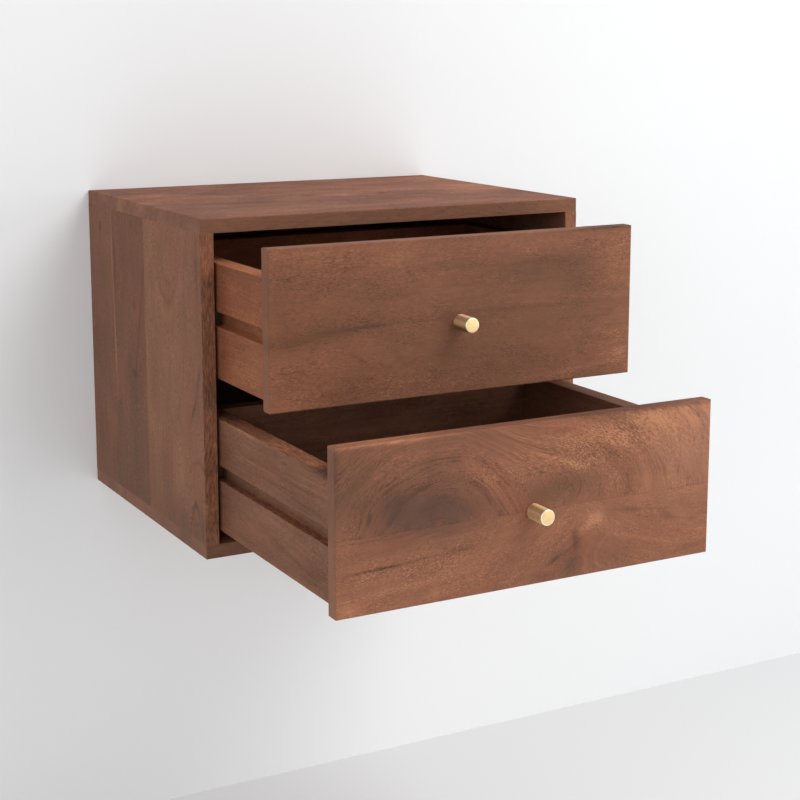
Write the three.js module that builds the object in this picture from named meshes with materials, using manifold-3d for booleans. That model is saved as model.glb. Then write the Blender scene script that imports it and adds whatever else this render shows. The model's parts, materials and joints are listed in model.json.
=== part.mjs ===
// Wall-hung nightstand in solid wood, with two inset drawers on wooden side runners.
// Lengths are in millimetres, +Z is up and the drawers pull out towards -Y.
// The origin is on the wall, at the middle of the back face of the wall cleat.

import * as THREE from "three";
import { ConvexGeometry } from "three/addons/geometries/ConvexGeometry.js";
import { mergeVertices } from "three/addons/utils/BufferGeometryUtils.js";
import Module from "manifold-3d";

const wasm = await Module();
wasm.setup();

// Cabinet
const CABINET_WIDTH = 457;
const CABINET_DEPTH = 356;
const CABINET_HEIGHT = 356;
const CASE_BOARD = 15;
const BACK_PANEL_THICKNESS = 6;
const BACK_PANEL_TONGUE = 5.5;
const REAR_CAVITY = 15;

// Drawers, and how much of each box is still inside the cabinet as it stands open
const FRONT_THICKNESS = 15;
const FRONT_REVEAL = 2;
const DRAWER_SIDE_THICKNESS = 20;
const DRAWER_SIDE_LIFT = 11;
const DRAWER_TOP_DROP = 29;
const DRAWER_REAR_ROOM = 5;
const DRAWER_BACK_THICKNESS = 20;
const DRAWER_CASE_GAP = 3.5;
const DRAWER_BOTTOM_THICKNESS = 6;
const DRAWER_BOTTOM_LIFT = 10;
const DRAWER_BOTTOM_TONGUE = 5.5;
const UPPER_DRAWER_KEPT_IN = 202;
const LOWER_DRAWER_KEPT_IN = 62;

// Wooden runners on the cabinet sides and the grooves that slide on them
const RUNNER_HEIGHT = 15;
const RUNNER_REAR_ROOM = 20;
const RUNNER_GROOVE_DEPTH = 10;
const RUNNER_GROOVE_HEIGHT = 16;
const RUNNER_SIDE_CLEARANCE = 1;
const RUNNER_SCREW_INSET = 45;
const PULL_HEIGHT = 73;

// Knobs
const KNOB_DIAMETER = 16;
const KNOB_LENGTH = 25;
const KNOB_RIM = 0.8;
const KNOB_HOLE_DEPTH = 12;
const KNOB_SIDES = 40;

// Hanging rail on the cabinet, cleat on the wall and the spacer below them
const RAIL_HEIGHT = 60;
const RAIL_WALL_CLEARANCE = 0.5;
const CLEAT_THICKNESS = 13;
const CLEAT_HEIGHT = 70;
const CLEAT_END_ROOM = 13.5;
const CLEAT_HOLE_DIAMETER = 5.5;
const CLEAT_SINK_DIAMETER = 11;
const CLEAT_HOLE_INSETS = [30, 120];
const SPACER_HEIGHT = 40;

// Fasteners
const DOWEL_DIAMETER = 8;
const DOWEL_LENGTH = 30;
const DOWEL_CHAMFER = 1;
const DOWEL_SHORT_END = 10;
const DOWEL_SIDES = 12;
const CASE_DOWEL_INSET = 60;
const DRAWER_DOWEL_INSET = 25;
const WOOD_SCREW = { shank: 3.5, head: 7, sink: 2.4, length: 21, tip: 4, slot: 1 };
const KNOB_SCREW = { shank: 4, head: 8, dome: 2.6, crown: 0.8, length: 25, slot: 1.1 };
const SLOT_LENGTH_SHARE = 0.62;
const SLOT_DEPTH_SHARE = 0.6;
const SCREW_SIDES = 14;

// Fits
const GLUE_LINE = 0.1;
const RUNNING_GAP = 0.3;
const FASTENER_FIT = 0.3;
const BORE_END_ROOM = 0.5;
const GROOVE_FIT = 0.25;
const GROOVE_BOTTOM_ROOM = 0.5;
const BOARD_EASE = 0.8;
const JOINT_EASE = 0.4;
const CUT_OVERRUN = 1;

// Sizes that follow from the ones above
const HALF_WIDTH = CABINET_WIDTH / 2;
const INNER_HALF_WIDTH = HALF_WIDTH - CASE_BOARD;
const OPENING_TOP = CABINET_HEIGHT - CASE_BOARD;
const OPENING_HEIGHT = OPENING_TOP - CASE_BOARD;
const FRONT_HALF_WIDTH = INNER_HALF_WIDTH - FRONT_REVEAL;
const FRONT_HEIGHT = (OPENING_HEIGHT - 3 * FRONT_REVEAL) / 2;
const LOWER_FRONT_BOTTOM = CASE_BOARD + FRONT_REVEAL;
const UPPER_FRONT_BOTTOM = LOWER_FRONT_BOTTOM + FRONT_HEIGHT + FRONT_REVEAL;
const BACK_PANEL_FRONT = -REAR_CAVITY - BACK_PANEL_THICKNESS;

const BOX_HALF_WIDTH = INNER_HALF_WIDTH - DRAWER_CASE_GAP;
const BOX_INNER_HALF_WIDTH = BOX_HALF_WIDTH - DRAWER_SIDE_THICKNESS;
const BOX_REAR = CABINET_DEPTH + BACK_PANEL_FRONT - DRAWER_REAR_ROOM;
const BOX_TOP = FRONT_HEIGHT - DRAWER_TOP_DROP;
const BACK_BOARD_FRONT = BOX_REAR - DRAWER_BACK_THICKNESS;
const UPPER_DRAWER_OPEN = BOX_REAR - UPPER_DRAWER_KEPT_IN;
const LOWER_DRAWER_OPEN = BOX_REAR - LOWER_DRAWER_KEPT_IN;
const BOTTOM_LOW = DRAWER_SIDE_LIFT + DRAWER_BOTTOM_LIFT;
const BOTTOM_HIGH = BOTTOM_LOW + DRAWER_BOTTOM_THICKNESS;
const BOTTOM_GROOVE_DEPTH = DRAWER_BOTTOM_TONGUE + GROOVE_BOTTOM_ROOM;
const RUNNER_GROOVE_TOP = PULL_HEIGHT + RUNNER_GROOVE_HEIGHT / 2;
const RUNNER_GROOVE_FLOOR = BOX_HALF_WIDTH - RUNNER_GROOVE_DEPTH;

// Stained wood, plywood, beech, brass and steel
const DARK_WOOD = new THREE.MeshStandardMaterial({ color: 0x7d5643, roughness: 0.55, metalness: 0 });
const FRONT_WOOD = new THREE.MeshStandardMaterial({ color: 0x8d5f48, roughness: 0.5, metalness: 0 });
const BOX_WOOD = new THREE.MeshStandardMaterial({ color: 0x80563f, roughness: 0.6, metalness: 0 });
const RUNNER_WOOD = new THREE.MeshStandardMaterial({ color: 0x6c4a38, roughness: 0.6, metalness: 0 });
const PLYWOOD = new THREE.MeshStandardMaterial({ color: 0x6f4c3a, roughness: 0.7, metalness: 0 });
const BEECH = new THREE.MeshStandardMaterial({ color: 0xc9a67c, roughness: 0.7, metalness: 0 });
const BRASS = new THREE.MeshStandardMaterial({ color: 0xe0c080, roughness: 0.3, metalness: 1 });
const STEEL = new THREE.MeshStandardMaterial({ color: 0xb9bcc0, roughness: 0.35, metalness: 1 });

// Closed geometries and solids

function closed(geometry) {
  const bare = geometry.clone();
  bare.deleteAttribute("normal");
  bare.deleteAttribute("uv");
  return mergeVertices(bare);
}

function solidOf(geometry) {
  const mesh = closed(geometry);
  const vertProperties = Float32Array.from(mesh.getAttribute("position").array);
  const triVerts = Uint32Array.from(mesh.getIndex().array);
  return new wasm.Manifold(new wasm.Mesh({ numProp: 3, vertProperties, triVerts }));
}

function geometryOf(solid) {
  const mesh = solid.getMesh();
  const geometry = new THREE.BufferGeometry();
  geometry.setAttribute("position", new THREE.BufferAttribute(mesh.vertProperties, 3));
  geometry.setIndex(new THREE.BufferAttribute(mesh.triVerts, 1));
  geometry.computeVertexNormals();
  return geometry;
}

function cut(geometry, tools) {
  let solid = solidOf(geometry);
  for (const tool of tools) {
    solid = solid.subtract(solidOf(tool));
  }
  return geometryOf(solid);
}

// A box between two corners, with every edge eased by a small chamfer
function easedBox(low, high, ease) {
  const points = [];
  for (const [x, inX] of [[low[0], 1], [high[0], -1]]) {
    for (const [y, inY] of [[low[1], 1], [high[1], -1]]) {
      for (const [z, inZ] of [[low[2], 1], [high[2], -1]]) {
        points.push(new THREE.Vector3(x, y + inY * ease, z + inZ * ease));
        points.push(new THREE.Vector3(x + inX * ease, y, z + inZ * ease));
        points.push(new THREE.Vector3(x + inX * ease, y + inY * ease, z));
      }
    }
  }
  return new ConvexGeometry(points);
}

// A sharp box between two corners, used to cut grooves
function plainBox(low, high) {
  const size = low.map((value, axis) => high[axis] - value);
  const middle = low.map((value, axis) => (high[axis] + value) / 2);
  return new THREE.BoxGeometry(...size).translate(...middle);
}

// Turns a shape made along +Y so that it runs along another axis
function turned(geometry, axis) {
  const turn = new THREE.Quaternion().setFromUnitVectors(new THREE.Vector3(0, 1, 0), axis);
  return geometry.applyQuaternion(turn);
}

// A straight round bore that starts at a point and runs along an axis
function bore(diameter, start, axis, depth, sides) {
  const length = depth + CUT_OVERRUN;
  const shape = new THREE.CylinderGeometry(diameter / 2, diameter / 2, length, sides);
  shape.translate(0, length / 2 - CUT_OVERRUN, 0);
  return turned(shape, axis).translate(...start);
}

function lathed(profile, sides) {
  return new THREE.LatheGeometry(profile.map(([r, y]) => new THREE.Vector2(r, y)), sides);
}

function placed(name, geometry, material, place) {
  const mesh = new THREE.Mesh(geometry, material.clone());
  mesh.name = name;
  mesh.position.set(...place);
  return mesh;
}

// A board between two corners of its group's frame, cut by tools that are given in the same frame
function board(name, low, high, material, { ease = BOARD_EASE, tools = [] } = {}) {
  const middle = low.map((value, axis) => (high[axis] + value) / 2);
  const shape = cut(easedBox(low, high, ease), tools);
  shape.translate(...middle.map((value) => -value));
  return placed(name, shape, material, middle);
}

// Fasteners

const X_AXIS = new THREE.Vector3(1, 0, 0);
const Y_AXIS = new THREE.Vector3(0, 1, 0);
const Z_AXIS = new THREE.Vector3(0, 0, 1);

function dowelGeometry() {
  const radius = DOWEL_DIAMETER / 2;
  const half = DOWEL_LENGTH / 2;
  const profile = [
    [0, -half],
    [radius - DOWEL_CHAMFER, -half],
    [radius, DOWEL_CHAMFER - half],
    [radius, half - DOWEL_CHAMFER],
    [radius - DOWEL_CHAMFER, half],
    [0, half],
  ];
  return lathed(profile, DOWEL_SIDES);
}

// A dowel across a glued joint: its short end points along axis and the joint is at the given place
function dowel(name, joint, axis) {
  const middle = DOWEL_SHORT_END - DOWEL_LENGTH / 2;
  const place = new THREE.Vector3(...joint).addScaledVector(axis, middle);
  return placed(name, turned(dowelGeometry(), axis), BEECH, place.toArray());
}

function dowelBore(joint, axis, depth) {
  const diameter = DOWEL_DIAMETER + 2 * FASTENER_FIT;
  return bore(diameter, joint, axis, depth + BORE_END_ROOM, DOWEL_SIDES);
}

function dowelShortBore(joint, axis) {
  return dowelBore(joint, axis, DOWEL_SHORT_END);
}

function dowelLongBore(joint, axis) {
  return dowelBore(joint, axis.clone().negate(), DOWEL_LENGTH - DOWEL_SHORT_END);
}

// A crossed recess in a screw head whose top is at the origin and whose shank runs along +Y
function crossRecess(head, slot, depth) {
  const half = (head * SLOT_LENGTH_SHARE) / 2;
  return [
    plainBox([-half, -CUT_OVERRUN, -slot / 2], [half, depth, slot / 2]),
    plainBox([-slot / 2, -CUT_OVERRUN, -half], [slot / 2, depth, half]),
  ];
}

function woodScrew(name, head, axis) {
  const { shank, sink, length, tip, slot } = WOOD_SCREW;
  const profile = [
    [0, 0],
    [WOOD_SCREW.head / 2, 0],
    [shank / 2, sink],
    [shank / 2, length - tip],
    [0, length],
  ];
  const recess = crossRecess(WOOD_SCREW.head, slot, sink * SLOT_DEPTH_SHARE);
  const shape = cut(lathed(profile, SCREW_SIDES), recess);
  return placed(name, turned(shape, axis), STEEL, head);
}

// The countersunk bore that a wood screw sits in, from the face that its head is flush with
function woodScrewBore(head, axis) {
  const { shank, sink, length } = WOOD_SCREW;
  const around = shank / 2 + FASTENER_FIT;
  const mouth = WOOD_SCREW.head / 2 + FASTENER_FIT;
  const profile = [
    [0, -CUT_OVERRUN],
    [mouth, -CUT_OVERRUN],
    [mouth, 0],
    [around, sink],
    [around, length + BORE_END_ROOM],
    [0, length + BORE_END_ROOM],
  ];
  return turned(lathed(profile, SCREW_SIDES), axis).translate(...head);
}

// Drawers

// The drawer's own frame: the front's face is at y = 0, its lower edge at z = 0
function drawerFront(name, dowels) {
  const tongue = BOX_INNER_HALF_WIDTH + BOTTOM_GROOVE_DEPTH;
  const groove = plainBox(
    [-tongue, FRONT_THICKNESS - BOTTOM_GROOVE_DEPTH, BOTTOM_LOW - GROOVE_FIT],
    [tongue, FRONT_THICKNESS + CUT_OVERRUN, BOTTOM_HIGH + GROOVE_FIT],
  );
  const screwHole = bore(
    KNOB_SCREW.shank + 2 * FASTENER_FIT,
    [0, 0, PULL_HEIGHT],
    Y_AXIS,
    FRONT_THICKNESS + CUT_OVERRUN,
    SCREW_SIDES,
  );
  const towardsFace = Y_AXIS.clone().negate();
  const blind = dowels.map((joint) => dowelShortBore(joint, towardsFace));
  return board(
    name,
    [-FRONT_HALF_WIDTH, 0, 0],
    [FRONT_HALF_WIDTH, FRONT_THICKNESS, FRONT_HEIGHT],
    FRONT_WOOD,
    { tools: [groove, screwHole, ...blind] },
  );
}

function drawerSide(name, hand, frontDowels, backDowels) {
  const inner = hand * BOX_INNER_HALF_WIDTH;
  const outer = hand * BOX_HALF_WIDTH;
  const grooveFloor = hand * RUNNER_GROOVE_FLOOR;
  const tongue = inner + hand * BOTTOM_GROOVE_DEPTH;
  const between = (a, b) => [Math.min(a, b), Math.max(a, b)];
  const [sideLow, sideHigh] = between(inner, outer);
  const [runnerLow, runnerHigh] = between(grooveFloor, outer + hand * CUT_OVERRUN);
  const [bottomLow, bottomHigh] = between(inner - hand * CUT_OVERRUN, tongue);
  const runnerGroove = plainBox(
    [runnerLow, FRONT_THICKNESS - CUT_OVERRUN, RUNNER_GROOVE_TOP - RUNNER_GROOVE_HEIGHT],
    [runnerHigh, BOX_REAR + CUT_OVERRUN, RUNNER_GROOVE_TOP],
  );
  const bottomGroove = plainBox(
    [bottomLow, FRONT_THICKNESS - CUT_OVERRUN, BOTTOM_LOW - GROOVE_FIT],
    [bottomHigh, BACK_BOARD_FRONT + BOTTOM_GROOVE_DEPTH, BOTTOM_HIGH + GROOVE_FIT],
  );
  const towardsFace = Y_AXIS.clone().negate();
  const outwards = X_AXIS.clone().multiplyScalar(hand);
  return board(
    name,
    [sideLow, FRONT_THICKNESS + GLUE_LINE, DRAWER_SIDE_LIFT],
    [sideHigh, BOX_REAR, BOX_TOP],
    BOX_WOOD,
    {
      ease: JOINT_EASE,
      tools: [
        runnerGroove,
        bottomGroove,
        ...frontDowels.map((joint) => dowelLongBore(joint, towardsFace)),
        ...backDowels.map((joint) => dowelShortBore(joint, outwards)),
      ],
    },
  );
}

function drawerBack(name, dowelsByHand) {
  const half = BOX_INNER_HALF_WIDTH - GLUE_LINE;
  const groove = plainBox(
    [-half - CUT_OVERRUN, BACK_BOARD_FRONT - CUT_OVERRUN, BOTTOM_LOW - GROOVE_FIT],
    [half + CUT_OVERRUN, BACK_BOARD_FRONT + BOTTOM_GROOVE_DEPTH, BOTTOM_HIGH + GROOVE_FIT],
  );
  const ends = dowelsByHand.flatMap(({ hand, joints }) =>
    joints.map((joint) => dowelLongBore(joint, X_AXIS.clone().multiplyScalar(hand))),
  );
  return board(
    name,
    [-half, BACK_BOARD_FRONT, DRAWER_SIDE_LIFT],
    [half, BOX_REAR, BOX_TOP],
    BOX_WOOD,
    { ease: JOINT_EASE, tools: [groove, ...ends] },
  );
}

function drawerBottom(name) {
  const half = BOX_INNER_HALF_WIDTH + DRAWER_BOTTOM_TONGUE;
  return board(
    name,
    [-half, FRONT_THICKNESS - DRAWER_BOTTOM_TONGUE, BOTTOM_LOW],
    [half, BACK_BOARD_FRONT + DRAWER_BOTTOM_TONGUE, BOTTOM_HIGH],
    PLYWOOD,
    { ease: JOINT_EASE },
  );
}

// A plain brass cylinder with a fine chamfer round its face and a blind hole for its screw
function knob(name) {
  const radius = KNOB_DIAMETER / 2;
  const profile = [
    [0, -KNOB_LENGTH],
    [radius - KNOB_RIM, -KNOB_LENGTH],
    [radius, KNOB_RIM - KNOB_LENGTH],
    [radius, -GLUE_LINE],
    [0, -GLUE_LINE],
  ];
  const holeDiameter = KNOB_SCREW.shank + 2 * FASTENER_FIT;
  const towardsFace = Y_AXIS.clone().negate();
  const hole = bore(holeDiameter, [0, 0, 0], towardsFace, KNOB_HOLE_DEPTH, SCREW_SIDES);
  const shape = cut(lathed(profile, KNOB_SIDES), [hole]);
  return placed(name, shape, BRASS, [0, 0, PULL_HEIGHT]);
}

// The domed screw that holds the knob, seated on the back of the drawer front
function knobScrew(name) {
  const { shank, head, dome, crown, length, slot } = KNOB_SCREW;
  const seat = FRONT_THICKNESS + GLUE_LINE;
  const profile = [
    [0, -dome],
    [head / 2 - crown, -dome],
    [head / 2, crown - dome],
    [head / 2, 0],
    [shank / 2, 0],
    [shank / 2, length],
    [0, length],
  ];
  const recess = crossRecess(head, slot, dome * SLOT_DEPTH_SHARE);
  const atTop = recess.map((tool) => tool.translate(0, -dome, 0));
  const shape = cut(lathed(profile, SCREW_SIDES), atTop);
  return placed(name, turned(shape, Y_AXIS.clone().negate()), STEEL, [0, seat, PULL_HEIGHT]);
}

function drawer(prefix, frontBottom, open) {
  const group = new THREE.Group();
  group.position.set(0, -CABINET_DEPTH - open, frontBottom);
  const sideMiddle = (BOX_INNER_HALF_WIDTH + BOX_HALF_WIDTH) / 2;
  const backMiddle = (BACK_BOARD_FRONT + BOX_REAR) / 2;
  const heights = [
    ["low", DRAWER_SIDE_LIFT + DRAWER_DOWEL_INSET],
    ["high", BOX_TOP - DRAWER_DOWEL_INSET],
  ];
  const towardsFace = Y_AXIS.clone().negate();
  const allFrontJoints = [];
  const dowelsByHand = [];
  for (const [hand, side] of [[-1, "left"], [1, "right"]]) {
    const frontJoints = heights.map(([, z]) => [hand * sideMiddle, FRONT_THICKNESS, z]);
    const backJoints = heights.map(([, z]) => [hand * BOX_INNER_HALF_WIDTH, backMiddle, z]);
    const outwards = X_AXIS.clone().multiplyScalar(hand);
    group.add(drawerSide(`${prefix}_${side}_side`, hand, frontJoints, backJoints));
    heights.forEach(([level], i) => {
      group.add(dowel(`${prefix}_front_dowel_${side}_${level}`, frontJoints[i], towardsFace));
      group.add(dowel(`${prefix}_back_dowel_${side}_${level}`, backJoints[i], outwards));
    });
    allFrontJoints.push(...frontJoints);
    dowelsByHand.push({ hand, joints: backJoints });
  }
  group.add(drawerFront(`${prefix}_front`, allFrontJoints));
  group.add(drawerBack(`${prefix}_back`, dowelsByHand));
  group.add(drawerBottom(`${prefix}_bottom`));
  group.add(knob(`${prefix}_knob`));
  group.add(knobScrew(`${prefix}_knob_screw`));
  return group;
}

// Cabinet

// Places of the dowels that join each side panel to the top and the bottom
const CASE_DOWELS = [];
for (const [level, z, up] of [["top", OPENING_TOP, 1], ["bottom", CASE_BOARD, -1]]) {
  for (const [side, hand] of [["left", -1], ["right", 1]]) {
    for (const [end, y] of [
      ["front", CASE_DOWEL_INSET - CABINET_DEPTH],
      ["rear", -CASE_DOWEL_INSET],
    ]) {
      const x = hand * (INNER_HALF_WIDTH + CASE_BOARD / 2);
      const axis = Z_AXIS.clone().multiplyScalar(up);
      CASE_DOWELS.push({ level, side, end, joint: [x, y, z], axis });
    }
  }
}

// Places of the runners and of the screws that hold them
const RUNNERS = [];
for (const [level, frontBottom] of [["upper", UPPER_FRONT_BOTTOM], ["lower", LOWER_FRONT_BOTTOM]]) {
  for (const [side, hand] of [["left", -1], ["right", 1]]) {
    const top = frontBottom + RUNNER_GROOVE_TOP - RUNNING_GAP;
    const front = -CABINET_DEPTH + FRONT_THICKNESS + RUNNING_GAP;
    const rear = BACK_PANEL_FRONT - RUNNER_REAR_ROOM;
    const inner = hand * (RUNNER_GROOVE_FLOOR + RUNNER_SIDE_CLEARANCE);
    const outer = hand * (INNER_HALF_WIDTH - GLUE_LINE);
    const axis = X_AXIS.clone().multiplyScalar(hand);
    const screws = [
      { end: "front", head: [inner, front + RUNNER_SCREW_INSET, top - RUNNER_HEIGHT / 2] },
      { end: "rear", head: [inner, rear - RUNNER_SCREW_INSET, top - RUNNER_HEIGHT / 2] },
    ];
    RUNNERS.push({ name: `${level}_${side}_runner`, side, top, front, rear, inner, outer, axis, screws });
  }
}

// A groove that holds one edge of the back panel, cut between two corners
function backPanelGroove(low, high) {
  return plainBox(
    [low[0], BACK_PANEL_FRONT - GROOVE_FIT, low[1]],
    [high[0], GROOVE_FIT - REAR_CAVITY, high[1]],
  );
}

function flatPanel(level) {
  const grooveDepth = BACK_PANEL_TONGUE + GROOVE_BOTTOM_ROOM;
  const grooveHalf = INNER_HALF_WIDTH + grooveDepth;
  const isTop = level === "top";
  const low = isTop ? OPENING_TOP : 0;
  const groove = isTop
    ? backPanelGroove([-grooveHalf, low - CUT_OVERRUN], [grooveHalf, low + grooveDepth])
    : backPanelGroove([-grooveHalf, CASE_BOARD - grooveDepth], [grooveHalf, CASE_BOARD + CUT_OVERRUN]);
  const bores = CASE_DOWELS.filter((each) => each.level === level).map((each) =>
    dowelShortBore(each.joint, each.axis),
  );
  return board(
    `${level}_panel`,
    [-HALF_WIDTH, -CABINET_DEPTH, low],
    [HALF_WIDTH, 0, low + CASE_BOARD],
    DARK_WOOD,
    { tools: [groove, ...bores] },
  );
}

function sidePanel(side, hand) {
  const grooveFloor = hand * (INNER_HALF_WIDTH + BACK_PANEL_TONGUE + GROOVE_BOTTOM_ROOM);
  const grooveMouth = hand * (INNER_HALF_WIDTH - CUT_OVERRUN);
  const groove = backPanelGroove(
    [Math.min(grooveFloor, grooveMouth), CASE_BOARD - CUT_OVERRUN],
    [Math.max(grooveFloor, grooveMouth), OPENING_TOP + CUT_OVERRUN],
  );
  const bores = CASE_DOWELS.filter((each) => each.side === side).map((each) =>
    dowelLongBore(each.joint, each.axis),
  );
  const pilots = RUNNERS.filter((each) => each.side === side).flatMap((runner) =>
    runner.screws.map((screw) => woodScrewBore(screw.head, runner.axis)),
  );
  const inner = hand * INNER_HALF_WIDTH;
  const outer = hand * HALF_WIDTH;
  return board(
    `${side}_side_panel`,
    [Math.min(inner, outer), -CABINET_DEPTH, CASE_BOARD + GLUE_LINE],
    [Math.max(inner, outer), 0, OPENING_TOP - GLUE_LINE],
    DARK_WOOD,
    { ease: JOINT_EASE, tools: [groove, ...bores, ...pilots] },
  );
}

function backPanel() {
  const half = INNER_HALF_WIDTH + BACK_PANEL_TONGUE;
  return board(
    "back_panel",
    [-half, BACK_PANEL_FRONT, CASE_BOARD - BACK_PANEL_TONGUE],
    [half, -REAR_CAVITY, OPENING_TOP + BACK_PANEL_TONGUE],
    PLYWOOD,
    { ease: JOINT_EASE },
  );
}

function runner({ name, top, front, rear, inner, outer, axis, screws }) {
  return board(
    name,
    [Math.min(inner, outer), front, top - RUNNER_HEIGHT],
    [Math.max(inner, outer), rear, top],
    RUNNER_WOOD,
    { ease: JOINT_EASE, tools: screws.map((screw) => woodScrewBore(screw.head, axis)) },
  );
}

// Hanging parts, which fill the cavity behind the back panel

const RAIL_FRONT = GLUE_LINE - REAR_CAVITY;
const RAIL_BACK = -RAIL_WALL_CLEARANCE;
const RAIL_TOP = OPENING_TOP - GLUE_LINE;
const RAIL_POINT = RAIL_TOP - RAIL_HEIGHT;
// The cleat's bevel lies one running gap below the rail's, both at 45 degrees
const BEVEL_OFFSET = RAIL_POINT + RAIL_BACK - RUNNING_GAP * Math.SQRT2;
const CLEAT_BACK_TOP = BEVEL_OFFSET;
const CLEAT_FRONT_TOP = BEVEL_OFFSET + CLEAT_THICKNESS;
const CLEAT_BOTTOM = CLEAT_FRONT_TOP - CLEAT_HEIGHT;
const CLEAT_MIDDLE = (CLEAT_BACK_TOP + CLEAT_BOTTOM) / 2;

// A strip along X whose section is given as points in Y and Z
function strip(name, halfLength, section, material, tools = []) {
  const points = section.flatMap(([y, z]) => [
    new THREE.Vector3(-halfLength, y, z),
    new THREE.Vector3(halfLength, y, z),
  ]);
  const shape = cut(new ConvexGeometry(points), tools);
  return placed(name, shape, material, [0, 0, 0]);
}

function hangingRail() {
  return strip(
    "hanging_rail",
    INNER_HALF_WIDTH - GLUE_LINE,
    [
      [RAIL_BACK, RAIL_TOP],
      [RAIL_FRONT, RAIL_TOP],
      [RAIL_FRONT, RAIL_POINT + RAIL_BACK - RAIL_FRONT],
      [RAIL_BACK, RAIL_POINT],
    ],
    RUNNER_WOOD,
  );
}

function cleatHole(x) {
  const mouth = CLEAT_SINK_DIAMETER / 2;
  const around = CLEAT_HOLE_DIAMETER / 2;
  const sink = mouth - around;
  const profile = [
    [0, -CUT_OVERRUN],
    [mouth, -CUT_OVERRUN],
    [mouth, 0],
    [around, sink],
    [around, CLEAT_THICKNESS + CUT_OVERRUN],
    [0, CLEAT_THICKNESS + CUT_OVERRUN],
  ];
  return turned(lathed(profile, SCREW_SIDES), Y_AXIS).translate(x, -CLEAT_THICKNESS, CLEAT_MIDDLE);
}

function wallCleat() {
  const half = INNER_HALF_WIDTH - CLEAT_END_ROOM;
  const places = CLEAT_HOLE_INSETS.flatMap((inset) => [inset - half, half - inset]);
  return strip(
    "wall_cleat",
    half,
    [
      [0, CLEAT_BOTTOM],
      [-CLEAT_THICKNESS, CLEAT_BOTTOM],
      [-CLEAT_THICKNESS, CLEAT_FRONT_TOP],
      [0, CLEAT_BACK_TOP],
    ],
    RUNNER_WOOD,
    places.map(cleatHole),
  );
}

function wallSpacer() {
  const low = CASE_BOARD + GLUE_LINE;
  const half = INNER_HALF_WIDTH - GLUE_LINE;
  return board(
    "wall_spacer",
    [-half, RAIL_FRONT, low],
    [half, RAIL_BACK, low + SPACER_HEIGHT],
    RUNNER_WOOD,
    { ease: JOINT_EASE },
  );
}

// Assembly

const cabinet = new THREE.Group();
cabinet.add(flatPanel("top"), flatPanel("bottom"));
cabinet.add(sidePanel("left", -1), sidePanel("right", 1));
cabinet.add(backPanel(), hangingRail(), wallCleat(), wallSpacer());
for (const { level, side, end, joint, axis } of CASE_DOWELS) {
  cabinet.add(dowel(`case_dowel_${level}_${side}_${end}`, joint, axis));
}
for (const each of RUNNERS) {
  cabinet.add(runner(each));
  for (const { end, head } of each.screws) {
    cabinet.add(woodScrew(`${each.name}_screw_${end}`, head, each.axis));
  }
}

const nightstand = new THREE.Group();
nightstand.position.z = -CLEAT_MIDDLE;
nightstand.add(cabinet);
nightstand.add(drawer("upper_drawer", UPPER_FRONT_BOTTOM, UPPER_DRAWER_OPEN));
nightstand.add(drawer("lower_drawer", LOWER_FRONT_BOTTOM, LOWER_DRAWER_OPEN));
nightstand.updateMatrixWorld(true);

export default nightstand;
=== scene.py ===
"""Floating nightstand: finishes, stage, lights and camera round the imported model."""

import json
import math

import bmesh
import bpy
from mathutils import Euler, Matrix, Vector


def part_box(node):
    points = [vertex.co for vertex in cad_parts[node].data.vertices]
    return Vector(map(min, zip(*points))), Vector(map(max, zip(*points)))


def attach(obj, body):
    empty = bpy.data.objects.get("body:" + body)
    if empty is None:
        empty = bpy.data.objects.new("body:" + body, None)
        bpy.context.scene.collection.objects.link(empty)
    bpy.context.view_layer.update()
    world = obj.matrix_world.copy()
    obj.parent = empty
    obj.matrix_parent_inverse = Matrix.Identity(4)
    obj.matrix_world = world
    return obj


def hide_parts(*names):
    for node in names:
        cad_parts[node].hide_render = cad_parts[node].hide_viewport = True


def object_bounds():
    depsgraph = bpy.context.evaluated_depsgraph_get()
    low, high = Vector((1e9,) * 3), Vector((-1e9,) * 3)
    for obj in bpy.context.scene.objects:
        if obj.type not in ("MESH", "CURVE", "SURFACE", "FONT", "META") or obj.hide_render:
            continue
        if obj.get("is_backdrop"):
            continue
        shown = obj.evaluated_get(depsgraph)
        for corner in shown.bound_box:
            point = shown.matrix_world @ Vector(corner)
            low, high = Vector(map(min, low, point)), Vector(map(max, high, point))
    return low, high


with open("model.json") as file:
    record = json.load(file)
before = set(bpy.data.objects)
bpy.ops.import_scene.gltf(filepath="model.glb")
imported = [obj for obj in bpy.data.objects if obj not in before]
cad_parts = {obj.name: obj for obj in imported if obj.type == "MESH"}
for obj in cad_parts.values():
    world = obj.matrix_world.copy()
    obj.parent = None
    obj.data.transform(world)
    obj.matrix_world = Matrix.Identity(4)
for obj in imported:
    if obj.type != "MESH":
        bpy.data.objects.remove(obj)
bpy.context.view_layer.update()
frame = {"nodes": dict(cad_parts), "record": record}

MM = 0.001
X, Y, Z = 0, 1, 2
NODES = frame["nodes"]
BODY_OF = {node: body for body, nodes in frame["record"]["behaviour"]["bodies"].items() for node in nodes}


# Colours

def linear(hex_colour):
    """A colour written as on a screen, as the linear light that shaders work in."""
    parts = [(hex_colour >> shift & 0xFF) / 255 for shift in (16, 8, 0)]
    return [c / 12.92 if c <= 0.04045 else ((c + 0.055) / 1.055) ** 2.4 for c in parts] + [1.0]


# Shader arithmetic

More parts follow.
